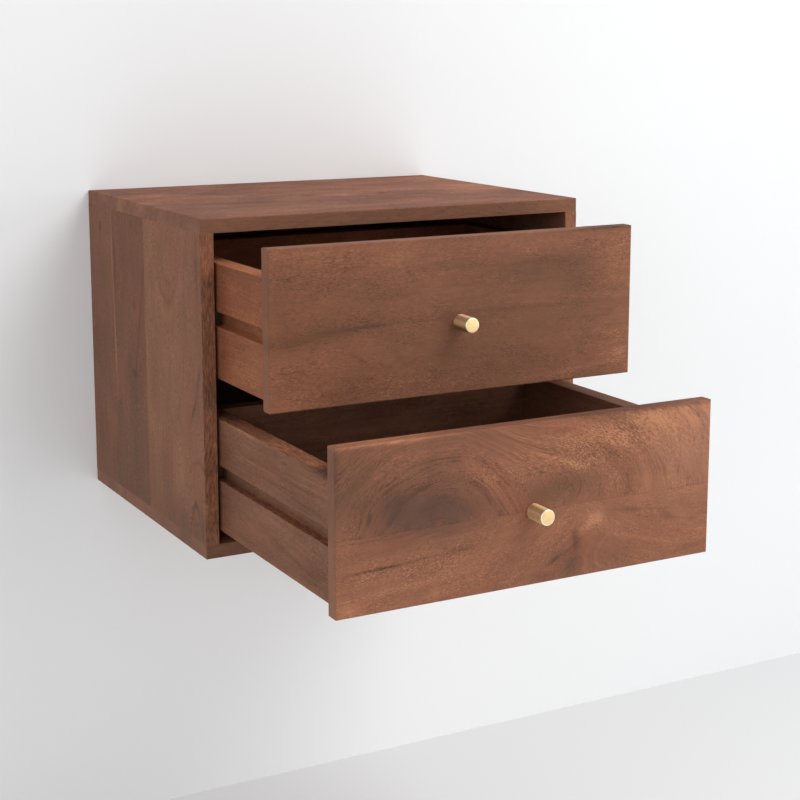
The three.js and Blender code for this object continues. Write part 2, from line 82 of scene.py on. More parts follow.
class Field:
    """A number at each point of a surface. Ordinary arithmetic on fields builds shader nodes."""

    def __init__(self, shader, socket):
        self.shader = shader
        self.socket = socket

    def __add__(self, other):
        return self.shader.math("ADD", self, other)

    def __sub__(self, other):
        return self.shader.math("SUBTRACT", self, other)

    def __mul__(self, other):
        return self.shader.math("MULTIPLY", self, other)

    def __truediv__(self, other):
        return self.shader.math("DIVIDE", self, other)

    def __rsub__(self, other):
        return self.shader.math("SUBTRACT", other, self)

    def __abs__(self):
        return self.shader.math("ABSOLUTE", self)

    __radd__ = __add__
    __rmul__ = __mul__


def mixed(share, first, second):
    return first * (1.0 - share) + second * share


# Where a mix node keeps its share and its two colours, and the colour that comes of them
MIX_INPUTS = (0, 6, 7)
MIX_RESULT = 2

# How squarely a face looks along the grain, from no end grain to nothing else
END_FACING = (0.6, 0.9)


class Shader:
    """One material, with short names for the nodes that the finishes are made of."""

    def __init__(self, name):
        self.material = bpy.data.materials.new(name)
        self.material.use_nodes = True
        self.tree = self.material.node_tree
        self.tree.nodes.clear()
        self.surface = self.node("ShaderNodeBsdfPrincipled")
        self.output = self.node("ShaderNodeOutputMaterial")
        self.tree.links.new(self.surface.outputs["BSDF"], self.output.inputs["Surface"])

    def node(self, kind, **settings):
        made = self.tree.nodes.new(kind)
        for key, value in settings.items():
            setattr(made, key, value)
        return made

    def feed(self, socket, value):
        """Links a field or socket to an input, or writes a plain value in it."""
        if isinstance(value, Field):
            value = value.socket
        if isinstance(value, bpy.types.NodeSocket):
            self.tree.links.new(value, socket)
        else:
            socket.default_value = value

    def math(self, operation, *terms):
        made = self.node("ShaderNodeMath", operation=operation)
        for socket, term in zip(made.inputs, terms):
            self.feed(socket, term)
        return Field(self, made.outputs[0])

    def smooth(self, value, low, high):
        """Rises smoothly from 0 at low to 1 at high."""
        made = self.node("ShaderNodeMapRange", interpolation_type="SMOOTHSTEP")
        for key, term in (("Value", value), ("From Min", low), ("From Max", high)):
            self.feed(made.inputs[key], term)
        return Field(self, made.outputs["Result"])

    def hypot(self, a, b):
        return self.math("SQRT", a * a + b * b)

    def vector(self, x, y, z):
        made = self.node("ShaderNodeCombineXYZ")
        for socket, term in zip(made.inputs, (x, y, z)):
            self.feed(socket, term)
        return made.outputs[0]

    def texture(self, dimensions, socket, place, detail, roughness):
        """Smooth noise round zero, of about one feature for each unit of the place."""
        made = self.node("ShaderNodeTexNoise", noise_dimensions=dimensions)
        self.feed(made.inputs[socket], place)
        for key, value in (("Scale", 1.0), ("Detail", detail), ("Roughness", roughness)):
            self.feed(made.inputs[key], value)
        return Field(self, made.outputs["Fac"]) - 0.5

    def noise(self, x, y, z, detail=2.0, roughness=0.5):
        """Noise that varies along three coordinates."""
        return self.texture("3D", "Vector", self.vector(x, y, z), detail, roughness)

    def noise_line(self, w, detail=2.0, roughness=0.5):
        """Noise that varies along one coordinate."""
        return self.texture("1D", "W", w, detail, roughness)

    def noise_sized(self, place, size, detail=2.0, roughness=0.5):
        """Noise in features of that many millimetres along each coordinate."""
        return self.noise(*(at / length for at, length in zip(place, size)), detail, roughness)

    def ramp(self, value, colours):
        """A colour between evenly spaced ones, from value 0 to value 1."""
        made = self.node("ShaderNodeValToRGB")
        stops = made.color_ramp.elements
        while len(stops) < len(colours):
            stops.new(0.5)
        for index, colour in enumerate(colours):
            stops[index].position = index / (len(colours) - 1)
            stops[index].color = linear(colour)
        self.feed(made.inputs[0], value)
        return made.outputs["Color"]

    def blend(self, share, first, second, kind="MIX"):
        made = self.node("ShaderNodeMix", data_type="RGBA", blend_type=kind)
        for index, value in zip(MIX_INPUTS, (share, first, second)):
            self.feed(made.inputs[index], value)
        return made.outputs[MIX_RESULT]

    def bump(self, height, depth):
        """Tilts the surface as if it rose and fell by depth metres where height goes from 0 to 1."""
        made = self.node("ShaderNodeBump")
        made.inputs["Strength"].default_value = 1.0
        made.inputs["Distance"].default_value = depth
        self.feed(made.inputs["Height"], height)
        self.feed(self.surface.inputs["Normal"], made.outputs["Normal"])

    def set(self, **values):
        for key, value in values.items():
            self.feed(self.surface.inputs[key.replace("_", " ")], value)

    def coordinates(self, kind):
        """The three parts of where the point lies (Object) or of how its surface faces (Normal)."""
        made = self.node("ShaderNodeTexCoord")
        split = self.node("ShaderNodeSeparateXYZ")
        self.feed(split.inputs[0], made.outputs[kind])
        return [Field(self, socket) for socket in split.outputs]

    def place(self, corner, grain, across):
        """Millimetres from a corner: along the grain, across the board's face, and through it."""
        parts = self.coordinates("Object")
        through = ({X, Y, Z} - {grain, across}).pop()
        return [(parts[axis] - corner[axis]) / MM for axis in (grain, across, through)]

    def end_grain(self, grain):
        """1 on the faces that are square to the grain, and 0 on the others."""
        return self.smooth(abs(self.coordinates("Normal")[grain]), *END_FACING)


# Wood

FRONT_TONES = [0x51392D, 0x6C4938, 0x825641, 0x97644B, 0xB57D5B]
TOP_TONES = [0x52382F, 0x6E483B, 0x875642, 0x9D6850, 0xBA8163]
SIDE_TONES = [0x584037, 0x6E4E3F, 0x885D49, 0x9C6F54, 0xB28465]
UPPER_BOX_TONES = [0x583524, 0x70452E, 0x885239, 0x9B6244, 0xB57B55]
LOWER_BOX_TONES = [0x54392A, 0x6B4938, 0x805843, 0x946850, 0xAC7E60]
HIDDEN_TONES = [0x4E3B31, 0x614A3D, 0x735546, 0x836350, 0x99775F]
OLIVE_STAIN = 0x684C38
RED_STAIN = 0x8C4F38
HEART_STAIN = 0x5C443C
AMBER_STAIN = 0x8A5638
PALE_STAIN = 0xA87E6A
END_STAIN = 0x7F6656
PORE = 0x38221A
WOOD_SHEEN = 0.12
WOOD_ROUGHNESS = 0.66
HAIR_ROUGHNESS = 0.25
PORE_ROUGHNESS = 0.1
WOOD_RELIEF = 0.12 * MM
HAIR_RELIEF = 0.4
SPECK_RELIEF = 0.3
PORE_RELIEF = 0.7

# How far a seed moves a board through the noise: along the grain, across the face and through the board
SEED_STEPS = (57.0, 31.0, 13.0)
STRIP_SEED_STEP = 7.0

# The layers of the figure: the length and width of a feature in millimetres, and what sets the layer apart
YEARS = {"length": 22.0, "width": 9.0, "shift": 1.6}
HAIRS = {"length": 11.0, "width": 1.9, "roughness": 0.6}
CLOUDS = {"length": 70.0, "width": 34.0, "detail": 3.0, "roughness": 0.45}
MOTTLES = {"length": 11.0, "width": 6.0, "roughness": 0.6, "shift": 6.4}
CROWDS = {"length": 38.0, "width": 20.0, "shift": 5.7}
FRAYS = {"length": 24.0, "width": 2.5}
HUES = {"length": 80.0, "width": 30.0, "shift": 4.4}
DASHES = {"length": 5.5, "width": 0.95, "detail": 1.0, "shift": 9.2}
SPECKS = {"roughness": 0.7}
EDGE_FIGURE = {"detail": 4.0, "roughness": 0.7, "shift": 2.2}

# The slow waves that bend the grain, in millimetres
BEND_SIZE = (220.0, 80.0, 80.0)
LEAN_SIZE = (160.0, 60.0)
LEAN_SHIFT = (7.3, 3.1)

# Growth, in millimetres: how far off the pith lies, and the widths of the bands and years round it
PITH_DISTANCE = (60.0, 90.0)
BAND_WIDTH = 7.0
YEAR_WIDTH = 6.0
YEAR_SHIFT = 3.3
YEAR_EDGE = 0.035
YEAR_PATCHES = (-0.1, 0.15)

# Where the noise turns into a crowd of specks, another hue or a pore
CROWD_RANGE = (-0.14, 0.16)
CROWD_LEAST = 0.45
CROWD_SPAN = 0.9
HUE_SPREAD = 0.2
PORE_RANGE = (0.1, 0.2)

# A glued seam, the reach of a narrow edge, the frayed rims of the marks, and how far they follow the bends
SEAM_WIDTH = 0.6
SEAM_SHARE = 0.2
EDGE_FADE = (0.7, 0.2)
FRAY_DEPTH = 1.1
MARK_FOLLOWS = 0.5


class Grain:
    """Where a point lies in its board: millimetres along the grain, and across it two ways."""

    def __init__(self, shader, u, v, w, seed, wave):
        self.shader = shader
        self.u = u
        self.v = v
        self.along, side, deep = (at + seed * step for at, step in zip((u, v, w), SEED_STEPS))
        bend = shader.noise_sized((self.along, side, deep), BEND_SIZE)
        lean = shader.noise(
            self.along / LEAN_SIZE[0] + LEAN_SHIFT[0],
            side / LEAN_SIZE[1],
            deep / LEAN_SIZE[1] + LEAN_SHIFT[1],
            detail=1.0,
        )
        self.shove = bend * wave
        self.side = side + self.shove
        self.deep = deep + lean * wave
        self.figure = 1.0

    def noise(self, length, width, detail=2.0, roughness=0.5, shift=0.0):
        """Noise in features of that many millimetres along and across the grain."""
        return self.shader.noise(
            self.along / length + shift, self.side / width, self.deep / width, detail, roughness
        )

    def spot(self, place, reach, slope=0.0, fray=0.0, arch=0.0):
        """A soft spot: 1 at its place, fading out over its reach along and across the board.

        It leans by its slope, and it bends into an arch whose ends lie arch millimetres further on, for each
        square millimetre across.
        """
        across = self.v + self.shove * MARK_FOLLOWS - place[1]
        along = (self.u - place[0] - across * across * arch) / reach[0]
        beside = (across - (self.u - place[0]) * slope) / reach[1] + fray
        return self.shader.math("EXPONENT", (along * along + beside * beside) * -1.0)


def glued_strips(shader, v, strips, seed, tone):
    """The seed and tone of the strip that a point lies in, and how near it lies to a glued seam."""
    glue = 0.0
    for edge, change in strips:
        past = shader.math("GREATER_THAN", v, edge)
        seed = past * STRIP_SEED_STEP + seed
        tone = past * change + tone
        glue = shader.smooth(abs(v - edge), SEAM_WIDTH, 0.0) + glue
    return seed, tone, glue


def growth(shader, fibre, bands, rings):
    """Bands of growth round the pith and, in patches, the dark edges of the years."""
    radius = shader.hypot(fibre.side + PITH_DISTANCE[0], fibre.deep + PITH_DISTANCE[1])
    grown = shader.noise_line(radius / BAND_WIDTH, detail=4.0, roughness=0.7) * bands
    if rings:
        years = shader.noise_line(radius / YEAR_WIDTH + YEAR_SHIFT)
        patches = shader.smooth(fibre.noise(**YEARS), *YEAR_PATCHES)
        grown = grown - shader.smooth(abs(years), YEAR_EDGE, 0.0) * patches * rings
    return grown


def wood(name, node, grain, across, tones, seed=0.0, tone=0.5, wave=20.0, strips=(), marks=(), crowds=(),
         stains=(), edges=(), calm=(), flow=None, bands=0.2, rings=0.0, streak=(40.0, 5.0), streaky=0.3,
         hairy=0.3, clouds=0.75, mottled=0.15, speck=(4.0, 1.25), speckle=0.7, pore=0.22, hue_share=0.2,
         end_stain=None):
    """A satin finished board of solid wood, of one timber or of strips glued side by side.

    Places and reaches are in millimetres, along the grain and across the board's face.
    strips: where the next strip starts, and its change of tone
    marks: place, reach, slope and change of tone, and the arch of those that bend; some paint light and
    shade
    crowds: place, reach, and how much more the specks and pores crowd there
    calm: place, reach, and the share of the figure that fades there
    stains: place, reach, colour and share
    edges: place of a narrow face, length and width of its figure, contrast, change of tone, tint and share
    """
    shader = Shader(name)
    u, v, w = shader.place(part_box(node)[0], grain, across)
    strip, tone, glue = glued_strips(shader, v, strips, seed, tone)
    fibre = Grain(shader, u, v, w, strip, wave)
    if flow:
        flow(fibre)
    # Tone: growth, streaks, short fibres and soft clouds, then the marks of this board, some painted light
    # and shade
    hairs = fibre.noise(**HAIRS)
    fine = fibre.noise(*speck, **SPECKS)
    crowd = shader.smooth(fibre.noise(**CROWDS), *CROWD_RANGE) * CROWD_SPAN + CROWD_LEAST
    for place, reach, strength in crowds:
        crowd = fibre.spot(place, reach) * strength + crowd
    grown = growth(shader, fibre, bands, rings) * fibre.figure
    figure = grown + fibre.noise(*streak) * streaky + hairs * hairy
    for place, reach, strength in calm:
        figure = figure * (1.0 - fibre.spot(place, reach) * strength)
    level = figure + fibre.noise(**CLOUDS) * clouds + fibre.noise(**MOTTLES) * mottled
    level = level + fine * crowd * speckle + tone
    # The narrow edge of a board has a figure and a tint of its own
    at_edge = [shader.smooth(abs(v - place), *EDGE_FADE) for place, *_ in edges]
    for share, (_, length, width, contrast, change, *_) in zip(at_edge, edges):
        coarse = fibre.noise(length, width, **EDGE_FIGURE)
        level = mixed(share, level, coarse * contrast + tone + change)
    fray = fibre.noise(**FRAYS) * FRAY_DEPTH
    for place, reach, slope, strength, *arch in marks:
        level = fibre.spot(place, reach, slope, fray, *arch) * strength + level
    colour = shader.ramp(level, tones)
    # Colour: redder and greener clouds, stains, and open pores filled with dark stain
    hue = fibre.noise(**HUES)
    for spread, stain in ((HUE_SPREAD, RED_STAIN), (-HUE_SPREAD, OLIVE_STAIN)):
        colour = shader.blend(shader.smooth(hue, 0.0, spread) * hue_share, colour, linear(stain))
    for share, (*_, tint, strength) in zip(at_edge, edges):
        colour = shader.blend(share * strength, colour, linear(tint), "COLOR")
    for place, reach, tint, share in stains:
        colour = shader.blend(fibre.spot(place, reach, 0.0, fray) * share, colour, linear(tint))
    if end_stain:
        stain, share = end_stain
        colour = shader.blend(shader.end_grain(grain) * share, colour, linear(stain))
    pores = shader.smooth(fibre.noise(**DASHES), *PORE_RANGE) * crowd
    colour = shader.blend(pores * pore, colour, linear(PORE))
    if strips:
        colour = shader.blend(glue * SEAM_SHARE, colour, linear(PORE))
    shader.set(Base_Color=colour)
    shader.set(Roughness=WOOD_ROUGHNESS + hairs * HAIR_ROUGHNESS + pores * PORE_ROUGHNESS)
    shader.surface.inputs["Specular IOR Level"].default_value = WOOD_SHEEN
    shader.bump(hairs * HAIR_RELIEF + fine * SPECK_RELIEF - pores * PORE_RELIEF, WOOD_RELIEF)
    return shader.material


MIDDLE_TONE = 0.5
PLYWOOD_BEND_SIZE = (240.0, 90.0, 2.0)
PLYWOOD_BEND = 60.0
PLYWOOD_FACE_SIZE = (150.0, 14.0, 8.0)
PLYWOOD_FACE_CONTRAST = 1.2
PLYWOOD_FIBRE_SIZE = (30.0, 0.9, 0.9)
PLYWOOD_FIBRE_CONTRAST = 0.3
PLYWOOD_ROUGHNESS = 0.62
PLYWOOD_ROUGHNESS_SPREAD = 0.2
PLYWOOD_RELIEF = 0.06 * MM
PLY_PAIR = 2.4
PLY_EDGE = 0x3F2C22
PLY_EDGE_SHARE = 0.25


def plywood(name, node, across):
    """A thin plywood panel: a rotary cut face, and plies that show on its edges."""
    shader = Shader(name)
    u, v, w = shader.place(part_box(node)[0], X, across)
    bend = shader.noise_sized((u, v, w), PLYWOOD_BEND_SIZE) * PLYWOOD_BEND
    face = shader.noise_sized((u, v + bend, w), PLYWOOD_FACE_SIZE, detail=4.0, roughness=0.6)
    fibres = shader.noise_sized((u, v, w), PLYWOOD_FIBRE_SIZE)
    ply = shader.math("GREATER_THAN", shader.math("SINE", w * (2 * math.pi / PLY_PAIR)), 0.0)
    level = face * PLYWOOD_FACE_CONTRAST + fibres * PLYWOOD_FIBRE_CONTRAST + MIDDLE_TONE
    colour = shader.blend(ply * PLY_EDGE_SHARE, shader.ramp(level, HIDDEN_TONES), linear(PLY_EDGE))
    shader.set(Base_Color=colour, Roughness=PLYWOOD_ROUGHNESS + fibres * PLYWOOD_ROUGHNESS_SPREAD)
    shader.bump(fibres, PLYWOOD_RELIEF)
    return shader.material


BEECH_TONES = [0xA88459, 0xC29C6E, 0xD6B58A]
BEECH_FLECK_SIZE = (3.0, 1.2, 1.2)
BEECH_CONTRAST = 1.6
BEECH_ROUGHNESS = 0.65


def beech(name):
    shader = Shader(name)
    flecks = shader.noise_sized(shader.place((0.0, 0.0, 0.0), X, Y), BEECH_FLECK_SIZE, detail=3.0)
    shader.set(Base_Color=shader.ramp(flecks * BEECH_CONTRAST + MIDDLE_TONE, BEECH_TONES))
    shader.surface.inputs["Roughness"].default_value = BEECH_ROUGHNESS
    return shader.material


# Metals

TARNISH_RANGE = (-0.1, 0.25)
TARNISH_ROUGHNESS = 0.06

SIDE_BRASS = (0xD6B288, 0xC6A074)
SIDE_TARNISH_SIZE = (6.0, 6.0, 6.0)
SIDE_ROUGHNESS = 0.48
SIDE_METALLIC = 0.9
BRUSHING_WIDTH = 0.12
BRUSHING_ROUGHNESS = 0.1
BRUSHING_RELIEF = 0.006 * MM
BRUSHING_STRENGTH = 0.95
QUARTER_TURN = 0.25

FACE_BRASS = (0xECCC97, 0xE2C28A)
FACE_TARNISH_SIZE = 5.0
FACE_ROUGHNESS = 0.42
FACE_METALLIC = 0.75
TURNING_WIDTH = 0.15
TURNING_ROUGHNESS = 0.08
TURNING_RELIEF = 0.004 * MM
# A painted highlight: the brighter brass that the knob's rim is coloured with
RIM_HIGHLIGHT_BRASS = 0xFFF1CB
RIM_REACH = (-0.4, 0.5)
RIM_POLISH = 0.12

STEEL_TONES = [0xA9ADB2, 0xC4C7CB]
STEEL_CLOUD_SIZE = (2.0, 2.0, 2.0)
STEEL_ROUGHNESS = 0.32
STEEL_ROUGHNESS_SPREAD = 0.3


def tarnished(shader, tarnish, tones):
    clean, dull = tones
    return shader.blend(shader.smooth(tarnish, *TARNISH_RANGE), linear(clean), linear(dull))


def brushed_brass(name, centre):
    """The side of a knob, brushed round its own axis, so that its gloss spreads along it."""
    shader = Shader(name)
    u, v, w = shader.place(centre, X, Y)
    brushing = shader.noise(shader.hypot(u, w) / BRUSHING_WIDTH, v / BRUSHING_WIDTH, 0.0)
    tarnish = shader.noise_sized((u, v, w), SIDE_TARNISH_SIZE, detail=3.0)
    shader.set(Base_Color=tarnished(shader, tarnish, SIDE_BRASS))
    shader.set(Roughness=SIDE_ROUGHNESS + brushing * BRUSHING_ROUGHNESS + tarnish * TARNISH_ROUGHNESS)
    shader.surface.inputs["Metallic"].default_value = SIDE_METALLIC
    shader.surface.inputs["Anisotropic"].default_value = BRUSHING_STRENGTH
    shader.surface.inputs["Anisotropic Rotation"].default_value = QUARTER_TURN
    around = shader.node("ShaderNodeTangent", direction_type="RADIAL", axis="Y")
    shader.set(Tangent=around.outputs["Tangent"])
    shader.bump(brushing, BRUSHING_RELIEF)
    return shader.material


def faced_brass(name, centre, rim_start):
    """The turned end of a knob, with a painted highlight round its rim, where it is also smoother."""
    shader = Shader(name)
    u, _, w = shader.place(centre, X, Y)
    radius = shader.hypot(u, w)
    turning = shader.noise(radius / TURNING_WIDTH, 0.0, 0.0)
    tarnish = shader.noise(u / FACE_TARNISH_SIZE, w / FACE_TARNISH_SIZE, 0.0, detail=3.0)
    # Painted highlight: the rim gets a brighter colour, and it is also less rough
    rim_highlight_and_polish = shader.smooth(radius, *(rim_start + reach for reach in RIM_REACH))
    roughness = FACE_ROUGHNESS + turning * TURNING_ROUGHNESS + tarnish * TARNISH_ROUGHNESS
    shader.set(Base_Color=shader.blend(rim_highlight_and_polish, tarnished(shader, tarnish, FACE_BRASS), linear(RIM_HIGHLIGHT_BRASS)))
    shader.set(Roughness=roughness - rim_highlight_and_polish * RIM_POLISH)
    shader.surface.inputs["Metallic"].default_value = FACE_METALLIC
    shader.bump(turning, TURNING_RELIEF)
    return shader.material


def steel(name):
    shader = Shader(name)
    cloud = shader.noise_sized(shader.place((0.0, 0.0, 0.0), X, Y), STEEL_CLOUD_SIZE, detail=3.0)
    shader.set(Base_Color=shader.ramp(cloud + MIDDLE_TONE, STEEL_TONES))
    shader.set(Roughness=STEEL_ROUGHNESS + cloud * STEEL_ROUGHNESS_SPREAD)
    shader.surface.inputs["Metallic"].default_value = 1.0
    return shader.material


# Pieces

LOWEST, HIGHEST = 0, 1
GLUE_LINE = 0.1 * MM
JOINT_CHAMFER = 0.9 * MM
EASE = 0.5 * MM
EASE_STEPS = 2
WELD_DISTANCE = 0.001 * MM
PLANE_TOLERANCE = 0.01 * MM
FLAT_ANGLE = math.radians(0.5)
SHARP_ANGLE = math.radians(40)


def finish_node(node, material):
    """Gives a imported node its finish."""
    mesh = NODES[node].data
    mesh.materials.clear()
    mesh.materials.append(material)


def eased_board(node, material, joints=()):
    """The node's own board with its sharp edges eased, as by sandpaper, but flush where it's joined.

    Each joint is an axis and which of the board's planes along it is joined, the lowest or the highest.
    """
    form = bmesh.new()
    form.from_mesh(NODES[node].data)
    bmesh.ops.remove_doubles(form, verts=form.verts, dist=WELD_DISTANCE)
    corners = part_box(node)
    planes = []
    for axis, end in joints:
        height = corners[end][axis]
        flush = height + (2 * end - 1) * GLUE_LINE / 2
        planes.append((axis, flush))
        for vert in form.verts:
            if abs(vert.co[axis] - height) < JOINT_CHAMFER:
                vert.co[axis] = flush
    bmesh.ops.dissolve_limit(form, angle_limit=FLAT_ANGLE, verts=form.verts, edges=form.edges)

    def at_joint(edge):
        return any(
            all(abs(vert.co[axis] - plane) < PLANE_TOLERANCE for vert in edge.verts)
            for axis, plane in planes
        )

    sharp = [edge for edge in form.edges if edge.calc_face_angle(0.0) > SHARP_ANGLE and not at_joint(edge)]
    bmesh.ops.bevel(
        form, geom=sharp, offset=EASE, segments=EASE_STEPS, profile=0.5, affect="EDGES", clamp_overlap=True
    )
    mesh = bpy.data.meshes.new(f"{node}_board")
    form.to_mesh(mesh)
    form.free()
    mesh.materials.append(material)
    board = bpy.data.objects.new(f"{node}_board", mesh)
    bpy.context.scene.collection.objects.link(board)
    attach(board, BODY_OF[node])
    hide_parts(node)


# The cabinet

HIDDEN_SEED = 11.0
RUNNER_SEED = 20.0


def finish_top():
    eased_board("top_panel", wood(
        "top_wood", "top_panel", X, Y, TOP_TONES, seed=3.0, wave=34.0, streak=(110.0, 13.0), streaky=0.4,
        mottled=0.4, speckle=1.4, end_stain=(END_STAIN, 0.3), strips=[(143.0, 0.1), (256.0, -0.06)],
        edges=[(0.0, 24.0, 2.4, 0.6, -0.16, OLIVE_STAIN, 0.35)],
        marks=[((105.0, 248.0), (18.0, 10.0), 0.2, -0.4), ((202.0, 172.0), (9.0, 6.0), 0.5, -0.35),
               ((145.0, 204.0), (9.0, 5.0), 0.0, -0.3), ((290.0, 159.0), (8.0, 6.0), 0.5, -0.35),
               ((145.0, 235.0), (30.0, 50.0), 0.0, -0.12), ((440.0, 180.0), (80.0, 44.0), 0.0, 0.38),
               ((245.0, 167.0), (26.0, 12.0), 0.0, 0.2), ((45.0, 252.0), (24.0, 14.0), 0.0, 0.3),
               ((20.0, 300.0), (14.0, 26.0), 0.0, -0.25), ((90.0, 210.0), (50.0, 8.0), -0.2, 0.12),
               ((430.0, 300.0), (80.0, 50.0), 0.0, 0.26), ((240.0, 55.0), (260.0, 50.0), 0.0, 0.15),
               ((435.0, 0.0), (30.0, 3.0), 0.0, 0.2)],
        stains=[((430.0, 220.0), (110.0, 90.0), RED_STAIN, 0.2),
                ((150.0, 80.0), (240.0, 90.0), OLIVE_STAIN, 0.2)],
    ), joints=[(Z, LOWEST)])


def finish_bottom():
    eased_board("bottom_panel", wood(
        "bottom_wood", "bottom_panel", X, Y, TOP_TONES, seed=5.0, end_stain=(END_STAIN, 0.35),
        strips=[(122.0, 0.06), (240.0, -0.05)], edges=[(0.0, 24.0, 2.4, 0.6, -0.26, OLIVE_STAIN, 0.3)],
        marks=[((0.0, 90.0), (12.0, 90.0), 0.0, -0.06)],
    ), joints=[(Z, HIGHEST)])


def finish_left_side():
    eased_board("left_side_panel", wood(
        "left_side_wood", "left_side_panel", Z, Y, SIDE_TONES, seed=1.0, tone=0.6, wave=26.0, bands=0.1,
        streak=(90.0, 1.8), hairy=0.24, clouds=0.32, mottled=0.0, speck=(3.0, 0.85), speckle=1.4,
        strips=[(168.0, -0.24), (270.0, 0.03)], edges=[(0.0, 10.0, 1.7, 2.1, -0.08, AMBER_STAIN, 0.4)],
        marks=[((38.0, 27.0), (4.0, 14.0), 0.0, -0.4, -0.12), ((16.0, 8.0), (18.0, 2.5), 0.1, -0.3),
               ((85.0, 16.0), (3.0, 24.0), 0.0, -0.2, -0.02), ((175.0, 12.0), (14.0, 4.0), -0.5, -0.25),
               ((140.0, 27.0), (16.0, 3.0), -0.6, -0.3), ((290.0, 12.0), (30.0, 4.0), 0.0, -0.2),
               ((243.0, 95.0), (4.0, 32.0), 0.0, -0.16, 0.032),
               ((262.0, 92.0), (4.0, 24.0), 0.0, -0.1, 0.04),
               ((226.0, 98.0), (6.0, 46.0), 0.0, 0.1, 0.03), ((55.0, 110.0), (36.0, 20.0), 0.0, -0.2),
               ((205.0, 187.0), (62.0, 3.0), -0.28, -0.24), ((146.0, 207.0), (4.0, 9.0), 0.0, -0.22),
               ((225.0, 204.0), (4.0, 4.0), 0.0, -0.3), ((175.0, 270.0), (56.0, 2.0), 0.02, 0.5),
               ((275.0, 275.0), (40.0, 2.5), 0.0, 0.25), ((270.0, 267.0), (42.0, 2.5), 0.0, -0.25),
               # Painted shade: the mark at (0, 90) darkens the bottom of the side
               ((302.0, 317.0), (6.0, 2.5), 0.0, -0.5), ((0.0, 90.0), (30.0, 120.0), 0.0, -0.18),
               ((290.0, 300.0), (60.0, 30.0), 0.0, 0.06), ((150.0, 330.0), (70.0, 30.0), 0.0, -0.06),
               ((318.0, 0.0), (14.0, 3.0), 0.0, -0.18), ((276.0, 0.0), (18.0, 3.0), 0.0, -0.24),
               ((160.0, 0.0), (20.0, 3.0), 0.0, -0.15), ((82.0, 0.0), (22.0, 3.0), 0.0, -0.1),
               ((20.0, 40.0), (24.0, 60.0), 0.0, -0.1), ((40.0, 158.0), (70.0, 14.0), 0.0, -0.1),
               ((180.0, 16.0), (220.0, 30.0), 0.0, -0.06)],
        stains=[((10.0, 270.0), (50.0, 80.0), OLIVE_STAIN, 0.3), ((300.0, 0.0), (26.0, 3.0), RED_STAIN, 0.2),
                ((290.0, 222.0), (90.0, 50.0), RED_STAIN, 0.16)],
    ), joints=[(Z, LOWEST), (Z, HIGHEST)])


def finish_right_side():
    eased_board("right_side_panel", wood(
        "right_side_wood", "right_side_panel", Z, Y, SIDE_TONES, seed=8.0, speck=(3.0, 0.85), streaky=0.2,
        hairy=0.2, clouds=0.35, speckle=1.4, strips=[(110.0, -0.12), (232.0, 0.15)],
        edges=[(0.0, 10.0, 1.9, 1.9, 0.05, AMBER_STAIN, 0.3)],
    ), joints=[(Z, LOWEST), (Z, HIGHEST)])


def finish_back():
    finish_node("back_panel", plywood("back_panel_plywood", "back_panel", Z))
    for index, node in enumerate(("hanging_rail", "wall_cleat", "wall_spacer")):
        finish_node(node, wood(f"{node}_wood", node, X, Z, HIDDEN_TONES, seed=HIDDEN_SEED + index))


# The drawers

RUNNER_PLAY = 0.7 * MM
BOX_HUE_SHARE = 0.12
BACK_SEED_STEP = 3.0


def finish_drawer(prefix, tones, seed, top_edges, **figure):
    """The sides have grooves for the runners.

    top_edges gives, for the top edge of each side and the floor of its groove, the length and width of the
    figure, its contrast and tone, and the tint and its share.
    """
    for index, side in enumerate(("left", "right")):
        node = f"{prefix}_{side}_side"
        low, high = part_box(node)
        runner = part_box(f"{prefix.removesuffix('_drawer')}_{side}_runner")[0]
        heights = [(z - low.z) / MM for z in (high.z, runner.z - RUNNER_PLAY)]
        own = figure if side == "left" else {}
        eased_board(node, wood(
            f"{node}_wood", node, Y, Z, tones, seed=seed + index, streak=(75.0, 2.6), streaky=0.35,
            hairy=0.38, clouds=0.45, speckle=0.8, hue_share=BOX_HUE_SHARE,
            edges=[(z, *top_edges[index]) for z in heights], **own,
        ))
    back = f"{prefix}_back"
    eased_board(back, wood(
        f"{back}_wood", back, X, Z, tones, seed=seed + BACK_SEED_STEP, hue_share=BOX_HUE_SHARE,
    ))
    bottom = f"{prefix}_bottom"
    finish_node(bottom, plywood(f"{bottom}_plywood", bottom, Y))


FRONT_HEIGHT = 160.0


